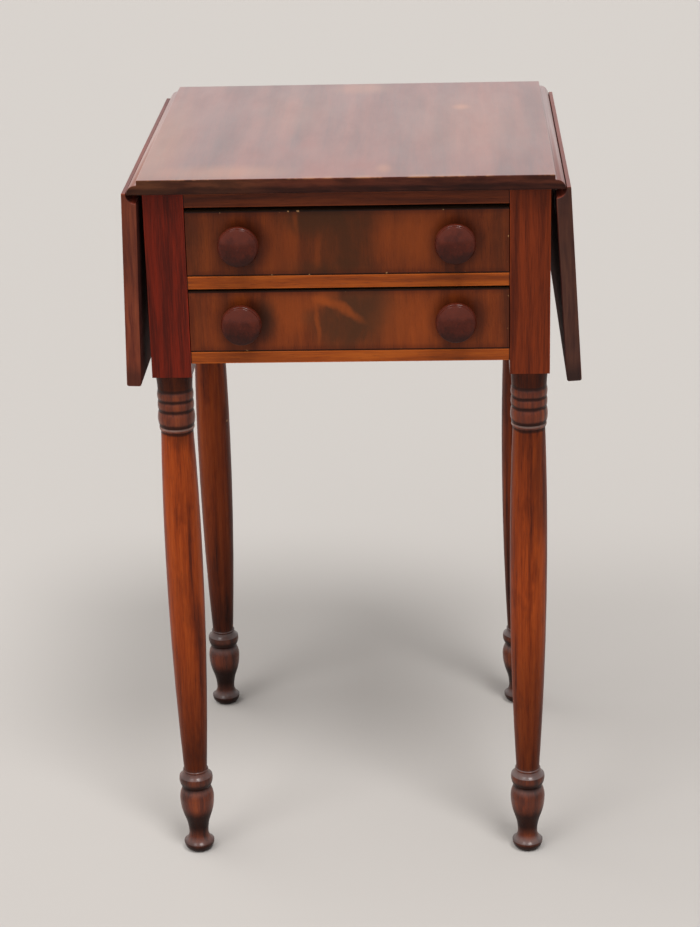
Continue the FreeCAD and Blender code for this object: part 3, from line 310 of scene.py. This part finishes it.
class Wood(Graph):
    """Solid wood: growth rings round a pith line beside the piece, streaks, fine grain, pores and mottling.

    Where layers names an axis, the end grain shows lines along it.
    """

    def __init__(self, name, along, tones, pith, ring_size=0.006, rings=0.05, streaks=110, mottle=0.35,
                 bend=0.010, contrast=1.0, layers=None):
        super().__init__(name)
        dark, middle, light = tones
        slow = squeeze(along, 0.3)
        at = self.move("SUBTRACT", self.place, pith)
        drift = self.drift(self.move("MULTIPLY", at, slow), 11, 2, 0.5, (bend, bend, bend))
        self.bent = self.move("ADD", at, drift)
        drawn = self.move("MULTIPLY", self.bent, squeeze(along, 0.045))
        distance = self.length(self.move("MULTIPLY", self.bent, squeeze(along, 0)))
        ring = self.calc("SINE", self.calc("MULTIPLY", distance, 2 * pi / ring_size))
        self.streak = self.noise(drawn, streaks, 4, 0.62)
        self.fine = self.noise(drawn, 900, 2, 0.6)
        self.pores = self.between(self.noise(drawn, 1700, 1), 0.62, 0.74)
        self.clouds = self.noise(self.move("MULTIPLY", self.bent, slow), 30, 4, 0.6)
        tone = self.calc("MULTIPLY_ADD", ring, rings, self.streak)
        tone = self.wander(tone, self.fine, 0.35)
        self.end = self.between(self.calc("ABSOLUTE", self.part(self.normal, along)), 0.6, 0.8)
        if layers:
            lines = self.noise(self.move("MULTIPLY", self.bent, squeeze(layers, 0.06)), 330, 3, 0.6)
            tone = self.calc("MULTIPLY_ADD", self.end, self.calc("SUBTRACT", lines, tone), tone)
        spread = 0.2 / contrast
        colour = self.ramp(tone, (0.5 - spread, dark), (0.5, middle), (0.5 + spread, light))
        colour = self.mix(self.between(self.clouds, 0.5, 0.72, 0, mottle), colour, dark)
        pore_colour = [value * 0.35 for value in dark]
        self.colour = self.mix(self.calc("MULTIPLY", self.pores, 0.35), colour, pore_colour)

    def stain(self, mask, colour):
        """Lays a colour over the wood where the mask is."""
        self.colour = self.mix(mask, self.colour, colour)

    def deepen(self, mask, colour):
        """Multiplies the wood by a colour where the mask is."""
        self.colour = self.mix(mask, self.colour, colour, "MULTIPLY")

    def weather(self):
        """Lays long pale and dark patches of an old finish over the wood, and returns their pattern."""
        patch = self.noise(self.move("MULTIPLY", self.bent, (1, 0.25, 1)), 11, 4, 0.55)
        self.stain(self.between(patch, 0.52, 0.72, 0, 0.6), PALE_POLISH)
        self.deepen(self.between(patch, 0.46, 0.30, 0, 0.6), (0.55, 0.6, 0.7))
        return patch

    def polish(self, low, high, relief=0.00012, waves=2.0, **constants):
        """Finishes the material with a roughness that varies from low to high with the mottling."""
        pattern = self.calc("MULTIPLY_ADD", self.fine, 0.25, self.clouds)
        roughness = self.between(pattern, 0.4, 0.85, low, high)
        height = self.calc("SUBTRACT", self.calc("MULTIPLY", self.fine, 0.5), self.pores)
        height = self.calc("MULTIPLY_ADD", self.clouds, waves, height)
        return self.finish(self.colour, roughness, height, relief, **constants)


def coat(node, material):
    """Gives a CAD node its material."""
    mesh = nodes[node].data
    mesh.materials.clear()
    mesh.materials.append(material)


def soften(node, width):
    """Rounds the arrises of a CAD node as it is shown."""
    piece = nodes[node]
    weld = piece.modifiers.new("Weld", "WELD")
    weld.merge_threshold = 1e-6
    flat = piece.modifiers.new("Flat", "DECIMATE")
    flat.decimate_type = "DISSOLVE"
    flat.angle_limit = radians(0.1)
    arris = piece.modifiers.new("Arris", "BEVEL")
    arris.width = width
    arris.segments = 2
    arris.limit_method = "ANGLE"
    arris.angle_limit = radians(50)
    arris.use_clamp_overlap = False
    arris.harden_normals = True


def leg_material(node, shaft, block, profile, dust_and_highlight_amount, pith):
    """A turned leg: streaked shaft, shade by height, grime and painted shade in the grooves and under the
    turnings, a dusting on upward faces that is partly painted highlight, a painted highlight on the fillet,
    and a block of its own tone with pale arrises of wear and painted highlight.
    """
    g = Wood(node, "Z", shaft, pith, ring_size=0.007, streaks=120, mottle=0.5)
    height = g.part(g.place, "Z")
    blotch = g.noise(g.move("MULTIPLY", g.bent, (1, 1, 0.35)), 48, 3, 0.6)
    g.deepen(g.between(blotch, 0.52, 0.72, 0, 0.7), (0.45, 0.36, 0.40))
    shades = [(place, (shade, shade * 0.95, shade)) for place, shade in profile]
    g.deepen(1.0, g.ramp(g.wander(height, g.clouds, 0.10), *shades))

    is_block = g.between(height, BLOCK_BOTTOM - 0.0005, BLOCK_BOTTOM + 0.0001)
    turned = g.between(height, BLOCK_BOTTOM + 0.0001, BLOCK_BOTTOM - 0.0001)
    streaks = g.between(g.calc("MULTIPLY_ADD", g.fine, 0.4, g.streak), 0.5, 0.9)
    g.colour = g.mix(is_block, g.colour, g.mix(streaks, *block))

    # Dust on upward faces, partly a painted highlight of the light from above; thinner from the neck up.
    upward = g.between(g.part(g.normal, "Z"), 0.15, 0.75)
    dust_and_highlight = g.times(upward, turned, g.between(g.clouds, 0.3, 0.7, dust_and_highlight_amount, dust_and_highlight_amount * 0.6))
    g.stain(g.times(dust_and_highlight, g.between(height, DUST_AND_HIGHLIGHT_TOP, DUST_AND_HIGHLIGHT_TOP + 0.005, 1, 0.3)), DUST_AND_HIGHLIGHT)
    # Grime in the grooves, and painted shade under the beads, the ring and the foot and at the ankle; no coat
    # there.
    level = g.wander(height, g.clouds, 0.005)
    clear_of_grime_and_shade = 1.0
    for low, high, amount in GRIME_AND_SHADE_LEVELS:
        soft = (high - low) * 0.3
        worn = g.between(streaks, 0, 1, amount, amount * 0.96)
        grime_and_shade = g.times(g.band(level, low, high, soft, soft), worn, turned)
        g.stain(grime_and_shade, GRIME_AND_SHADE)
        clear_of_grime_and_shade = g.calc("MINIMUM", clear_of_grime_and_shade, g.calc("SUBTRACT", 1, grime_and_shade))
    # Painted highlight along the fillet.
    fillet = g.band(height, *FILLET, 0.0004, 0.0004)
    g.stain(g.times(fillet, g.between(g.clouds, 0.35, 0.6, 0.7, 0.3)), FILLET_HIGHLIGHT)

    # Paler arrises of the block: wear and a painted highlight.
    arris = g.between(g.edge_distance(*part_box(node)), 0.0016, 0.0003)
    g.stain(g.times(arris, is_block, g.between(g.clouds, 0.4, 0.62, 0, 0.5)), brighter(block[1], 2))
    chance = g.between(g.noise(g.place, 60, 1), 0.6, 0.62)
    g.stain(g.times(g.spots(26.0, 0.055, 0.03), chance), LEG_NICK)

    beads = g.band(height, *NECK, 0.0015, 0.002)
    foot = g.between(height, FOOT_TOP + 0.002, FOOT_TOP - 0.002, 0.08, 0.6)
    sheen = g.calc("MULTIPLY_ADD", beads, 0.47, foot)
    g.feed(g.shader.inputs["Coat Weight"], g.times(sheen, clear_of_grime_and_shade))
    return g.polish(0.30, 0.46, Specular_IOR_Level=0.09, Coat_Roughness=0.22)


def board_material(node, along, tones, pith, wear=0.5, low=0.34, high=0.5, joint=None, **options):
    """A flat board, rubbed paler along its edges, with grime where it meets the legs at x = joint."""
    g = Wood(node, along, tones, pith, **options)
    edge = g.between(g.edge_distance(*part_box(node)), 0.0016, 0.0003)
    g.stain(g.times(edge, g.between(g.clouds, 0.35, 0.65, 0.2, wear)), brighter(tones[2], 1.8))
    if joint:
        outward = g.calc("ABSOLUTE", g.part(g.place, "X"))
        g.deepen(g.between(outward, joint - 0.0014, joint - 0.0005), (0.2, 0.16, 0.16))
    return g.polish(low, high, Specular_IOR_Level=0.12, Coat_Weight=0.08, Coat_Roughness=0.3)


def dull_material(node, along, tones, pith):
    """A planed board with a dull surface."""
    return board_material(node, along, tones, pith, wear=0.2, low=0.6, high=0.75)


def leaf_material(node, sign, end_tints_and_shade):
    """A leaf: polished like the top outside, dull towards the case with painted shade on that face, and
    tinted end grain with painted shade on the right leaf.
    """
    low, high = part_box(node)
    g = Wood(node, "Y", TOP_TONES, (sign * 0.26, 0, 0.5), ring_size=0.016, rings=0.03, streaks=45,
             mottle=0.2, layers="Z")
    g.weather()
    outward = g.calc("MULTIPLY", g.part(g.normal, "X"), sign)
    outside = g.between(outward, 0.5, 0.8)
    inside = g.between(outward, -0.5, -0.8)
    # Painted shade on the face towards the case.
    g.deepen(inside, (0.32, 0.36, 0.42))
    edge = g.between(g.edge_distance(low, high), 0.002, 0.0004)
    g.stain(g.times(edge, g.between(g.clouds, 0.4, 0.65, 0.1, 0.6)), brighter(TOP_TONES[2], 1.7))
    # End grain tinted; on the right leaf partly painted shade.
    g.deepen(g.end, end_tints_and_shade)
    height = g.wander(g.part(g.place, "Z"), g.clouds, 0.03)
    g.deepen(g.times(g.end, g.between(height, low.z + 0.032, low.z + 0.010)), (0.36, 0.36, 0.42))
    g.deepen(g.times(g.end, g.between(height, high.z - 0.11, high.z - 0.05)), (0.72, 0.72, 0.75))
    sheen = g.calc("ADD", g.between(inside, 0, 1, 0.25, 0), g.calc("MULTIPLY", outside, 0.75))
    g.feed(g.shader.inputs["Coat Weight"], sheen)
    g.clouds = g.calc("MULTIPLY_ADD", g.clouds, 0.3, g.between(inside, 0, 1, 0.15, 0.75))
    return g.polish(0.36, 0.85, 0.00002, 3.0, Specular_IOR_Level=0.1, Coat_Roughness=0.35)


def top_material():
    """The top: reddish brown under a worn satin polish, with dark end grain and a pale rubbed front arris."""
    low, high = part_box("table_top")
    g = Wood("table_top", "Y", TOP_TONES, (0.10, 0.0, 0.45), ring_size=0.016, rings=0.03, streaks=45,
             mottle=0.2, layers="X")
    patch = g.weather()
    at = g.move("MULTIPLY", g.place, (1, 1, 0))
    for x, y, width, depth, amount in TOP_WEAR:
        mask = g.blob(at, (x, y, 0), (width, depth, 1), 0.8)
        g.stain(g.times(mask, g.between(patch, 0.3, 0.6, 0.5, 1), amount), TOP_RUBBED)

    height = g.part(g.place, "Z")
    g.deepen(g.end, (0.40, 0.45, 0.38))
    soot = g.noise(g.move("MULTIPLY", g.place, (1, 1, 5)), 30, 4, 0.6)
    g.deepen(g.times(g.end, g.between(soot, 0.42, 0.62, 0, 0.7)), (0.45, 0.42, 0.42))
    # End grain darker towards its lower arris.
    g.deepen(g.times(g.end, g.between(height, high.z - 0.006, high.z - 0.010)), (0.50, 0.47, 0.48))

    front = g.between(g.part(g.place, "Y"), low.y + 0.0125, low.y + 0.001)
    upper = g.between(height, high.z - 0.0015, high.z - 0.0002)
    rubbed = g.noise(g.move("MULTIPLY", g.place, (1, 0.3, 1)), 34, 4, 0.65)
    g.stain(g.times(front, upper, g.between(rubbed, 0.46, 0.66), 0.5), TOP_FRONT_RUBBED)
    edge = g.between(g.edge_distance(low, high), 0.0012, 0.0002)
    g.stain(g.times(edge, g.times(upper, g.between(rubbed, 0.5, 0.6, 0, 0.6))), TOP_CHIP)
    g.feed(g.shader.inputs["Coat Weight"], g.between(g.end, 0, 1, 1.0, 0.1))
    return g.polish(0.28, 0.38, 0.00001, 1.5, Specular_IOR_Level=0.1, Coat_Roughness=0.3)


def veneer_material(node, tones, patch, figure, pith):
    """Crotch veneer: an upright feather, dark olive patches, orange flames, grime and a painted shadow round
    the knobs, and painted shade along its rims and edges.
    """
    low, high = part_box(node)
    g = Wood(node, "Z", tones, pith, ring_size=0.012, streaks=70, mottle=0.3, bend=0.04, contrast=0.62)
    drift = g.drift(g.move("MULTIPLY", g.place, (1, 1, 0.6)), 30, 4, 0.55, (0.020, 0, 0.020))
    at = g.move("MULTIPLY", g.move("ADD", g.place, drift), (1, 0, 1))
    feather = g.noise(g.move("MULTIPLY", at, (1, 1, 0.35)), 60, 4, 0.65)
    g.deepen(g.between(feather, 0.42, 0.68, 0, 0.5), (0.6, 0.5, 0.55))
    flame = brighter(tones[2], 1.25)
    for kind, x, z, width, height, turn, amount in figure:
        mask = g.blob(at, (x, 0, z), (width, 1, height), 0.75, turn)
        colour = patch if kind == "dark" else flame
        g.stain(g.times(mask, g.between(feather, 0.3, 0.6, amount * 0.6, amount)), colour)
    for side in SIDES:
        knob_low, knob_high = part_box(node.replace("veneer", f"knob_{side}"))
        middle = (knob_low + knob_high) / 2
        # Grime from handling and a painted shadow below and right of each knob.
        handling_grime_and_shadow = g.blob(at, (middle.x + 0.003, 0, middle.z - 0.003), (0.026, 1, 0.024), 0.32)
        g.deepen(g.times(handling_grime_and_shadow, 0.9), (0.38, 0.33, 0.40))

    edge = g.edge_distance(low, high)
    g.deepen(g.between(edge, 0.007, 0.0015, 0, 0.55), (0.5, 0.42, 0.45))
    level = g.part(g.place, "Z")
    # Painted shade of the gaps above and below the drawer front.
    upper_rim_shade = g.between(level, high.z - 0.0018, high.z - 0.0008)
    lower_rim_shade = g.between(level, low.z + 0.0014, low.z + 0.0006)
    g.deepen(g.calc("MAXIMUM", upper_rim_shade, lower_rim_shade), (0.16, 0.13, 0.13))
    chip = g.between(g.noise(g.place, 210, 2), 0.69, 0.72)
    g.stain(g.times(g.between(edge, 0.0022, 0.0006), chip), VENEER_CHIP)
    # Painted shade on the edges of the veneer.
    face = g.between(g.part(g.normal, "Y"), -0.5, -0.8)
    g.colour = g.mix(face, VENEER_EDGE_SHADE, g.colour)
    return g.polish(0.34, 0.5, 0.00006, Specular_IOR_Level=0.12, Coat_Weight=0.08, Coat_Roughness=0.3)


def knob_material(node):
    """A turned knob, dark from handling, paler above from wear and painted light, darker below with painted
    shade, with end grain on its face and small knocks.
    """
    low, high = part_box(node)
    middle = (low + high) / 2
    pith = (middle.x + 0.01, 0, middle.z - 0.006)
    g = Wood(node, "Y", KNOB_TONES, pith, ring_size=0.0035, rings=0.02, streaks=70, mottle=0.3, contrast=0.55)
    level = g.wander(g.part(g.place, "Z"), g.noise(g.place, 75, 4, 0.6), 0.035)
    # Wear and painted light on the upper part.
    g.stain(g.between(level, middle.z, middle.z + 0.012, 0, 0.5), KNOB_WEAR_AND_LIGHT)
    # Painted shade on the lower part.
    g.deepen(g.between(level, middle.z - 0.004, middle.z - 0.014, 0, 0.7), (0.42, 0.45, 0.5))
    g.stain(g.times(g.spots(60.0, 0.10, 0.05), g.between(g.clouds, 0.58, 0.62)), KNOB_KNOCK)
    return g.polish(0.34, 0.46, 0.00002, 0.5, Specular_IOR_Level=0.04, Coat_Weight=0.3, Coat_Roughness=0.15)


def metal_material(name, colour, rust, metallic):
    """Old dark metal with a thin brown bloom."""
    g = Graph(name)
    cloud = g.noise(g.place, 220, 4, 0.65)
    speck = g.noise(g.place, 1400, 2)
    bloom = g.between(g.calc("MULTIPLY_ADD", speck, 0.3, cloud), 0.58, 0.8)
    tone = g.mix(bloom, colour, rust)
    roughness = g.between(bloom, 0, 1, 0.42, 0.75)
    return g.finish(tone, roughness, cloud, 0.0001, Metallic=metallic)


def make_camera():
    """Camera at the photograph's viewing angle."""
    data = bpy.data.cameras.new("Camera")
    data.sensor_width = SENSOR_SIDE
    data.lens = FOCAL_PIXELS * SENSOR_SIDE / FRAME_SIDE
    camera = bpy.data.objects.new("Camera", data)
    bpy.context.scene.collection.objects.link(camera)
    turn = Matrix.Rotation(radians(CAMERA_ROLL), 4, "Y") @ Matrix.Rotation(radians(CAMERA_TILT), 4, "X")
    turn = turn @ Matrix.Rotation(radians(CAMERA_YAW), 4, "Z") @ Matrix.Rotation(radians(90), 4, "X")
    camera.matrix_world = Matrix.Translation(CAMERA_PLACE) @ turn
    bpy.context.scene.camera = camera


def make_lamp(name, place, power, colour, angle, reflected):
    """A broad lamp at a place, aimed at the table."""
    data = bpy.data.lights.new(name, "SUN")
    data.energy = power
    data.color = colour
    data.angle = radians(angle)
    lamp = bpy.data.objects.new(name, data)
    bpy.context.scene.collection.objects.link(lamp)
    lamp.location = place
    lamp.visible_glossy = reflected
    lamp.rotation_mode = "QUATERNION"
    lamp.rotation_quaternion = (Vector(LAMP_TARGET) - Vector(place)).to_track_quat("-Z", "Y")


def make_floor():
    """Plain pale floor."""
    mesh = bpy.data.meshes.new("Floor")
    corners = [(x * FLOOR_REACH, y * FLOOR_REACH, 0) for x, y in ((-1, -1), (1, -1), (1, 1), (-1, 1))]
    mesh.from_pydata(corners, [], [(0, 1, 2, 3)])
    floor = bpy.data.objects.new("Floor", mesh)
    bpy.context.scene.collection.objects.link(floor)
    material = bpy.data.materials.new("Floor")
    material.use_nodes = True
    shader = material.node_tree.nodes["Principled BSDF"]
    shader.inputs["Base Color"].default_value = FLOOR_COLOUR
    shader.inputs["Roughness"].default_value = 0.9
    shader.inputs["Specular IOR Level"].default_value = 0.1
    mesh.materials.append(material)


def make_sky():
    """Pale sky, brighter in view and in reflections than as a lamp."""
    world = bpy.data.worlds.new("Sky")
    world.use_nodes = True
    bpy.context.scene.world = world
    tree = world.node_tree
    path = tree.nodes.new("ShaderNodeLightPath")
    strength = tree.nodes.new("ShaderNodeValue").outputs[0]
    strength.default_value = SKY_LIGHT
    for ray, level in (("Is Camera Ray", SKY_IN_VIEW), ("Is Glossy Ray", SKY_REFLECTED)):
        total = tree.nodes.new("ShaderNodeMath")
        total.operation = "MULTIPLY_ADD"
        total.inputs[1].default_value = level - SKY_LIGHT
        tree.links.new(path.outputs[ray], total.inputs[0])
        tree.links.new(strength, total.inputs[2])
        strength = total.outputs[0]
    sky = tree.nodes["Background"]
    sky.inputs["Color"].default_value = SKY_COLOUR
    tree.links.new(strength, sky.inputs["Strength"])


def dress_legs():
    """Gives the legs their materials: the left blocks are redder, the back shafts darker, partly with painted
    shade.
    """
    for name, tones, block, profile, dust_and_highlight_amount, pith in (
        ("leg_front_left", SHAFT_TONES, RED_BLOCK, LEFT_PROFILE, 0.5, (-0.21, -0.11, 0.0)),
        ("leg_front_right", SHAFT_TONES, BROWN_BLOCK, RIGHT_PROFILE, 1.0, (0.23, -0.12, 0.3)),
        ("leg_back_left", BACK_SHAFT_SHADED_TONES, RED_BLOCK, LEFT_PROFILE, 0.65, (-0.14, 0.24, 0.6)),
        ("leg_back_right", BACK_SHAFT_SHADED_TONES, BROWN_BLOCK, RIGHT_PROFILE, 0.8, (0.12, 0.25, 0.9)),
    ):
        coat(name, leg_material(name, tones, block, profile, dust_and_highlight_amount, pith))


def dress_top():
    """Gives the top and the leaves their materials and rounds their arrises."""
    coat("table_top", top_material())
    soften("table_top", TOP_ARRIS)
    for side, sign in SIDES.items():
        leaf = f"leaf_{side}"
        coat(leaf, leaf_material(leaf, sign, LEAF_END_TINTS_AND_SHADE[side]))
        soften(leaf, TOP_ARRIS)


def dress_case():
    """Gives the panels and the front rails their materials."""
    for side, sign in SIDES.items():
        panel = f"side_panel_{side}"
        coat(panel, board_material(panel, "Y", PANEL_TONES, (sign * 0.23, 0, 0.57)))
    coat("back_panel", board_material("back_panel", "X", PANEL_TONES, (0, 0.26, 0.6), mottle=0.5))
    for name, tones, pith in (
        ("front_top_rail", DIM_RAIL_TONES, (0, -0.13, 0.66)),
        ("drawer_divider", WARM_RAIL_TONES, (0.1, -0.12, 0.66)),
        ("front_bottom_rail", WARM_RAIL_TONES, (0.2, -0.12, 0.58)),
    ):
        coat(name, board_material(name, "X", tones, pith, joint=LEG_INNER, streaks=160))
        soften(name, RAIL_ARRIS)


def dress_drawers():
    """Gives the drawers and the runners under them their materials."""
    for name, tones, patch, figure, pith in (
        ("upper_drawer_veneer", UPPER_TONES, (0.050, 0.015, 0.004), UPPER_FIGURE, (0.02, -0.4, 0.66)),
        ("lower_drawer_veneer", LOWER_TONES, (0.066, 0.021, 0.007), LOWER_FIGURE, (-0.03, -0.4, 0.58)),
    ):
        coat(name, veneer_material(name, tones, patch, figure, pith))
    for drawer in ("upper", "lower"):
        for side in SIDES:
            knob = f"{drawer}_drawer_knob_{side}"
            coat(knob, knob_material(knob))
            for piece in (f"{drawer}_drawer_side_{side}", f"{drawer}_runner_{side}"):
                low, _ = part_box(piece)
                coat(piece, dull_material(piece, "Y", BARE_TONES, (low.x + 0.06, 0, low.z - 0.03)))
        for piece, tones in (("front", SHADED_CORE_TONES), ("back", BARE_TONES), ("bottom", BARE_TONES)):
            name = f"{drawer}_drawer_{piece}"
            low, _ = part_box(name)
            coat(name, dull_material(name, "X", tones, (0, low.y + 0.05, low.z - 0.04)))


def dress_inside():
    """Gives the kickers, the leaf supports and the metal their materials."""
    for side, sign in SIDES.items():
        for piece in (f"kicker_{side}", f"fly_rail_{side}", f"fly_bracket_{side}"):
            coat(piece, dull_material(piece, "Y", BARE_TONES, (sign * 0.24, 0, 0.62)))
    iron = metal_material("iron", colour=(0.055, 0.050, 0.047), rust=(0.085, 0.038, 0.020), metallic=0.85)
    steel = metal_material("steel", colour=(0.20, 0.185, 0.165), rust=(0.12, 0.065, 0.035), metallic=0.9)
    for name in nodes:
        if "screws" in name:
            coat(name, steel)
        elif name.startswith("hinge") or name.startswith("fly_pin"):
            coat(name, iron)


make_camera()
make_floor()
make_sky()
for lamp_values in LAMPS:
    make_lamp(*lamp_values)
dress_legs()
dress_top()
dress_case()
dress_drawers()
dress_inside()
bpy.context.scene.view_settings.view_transform = "Standard"
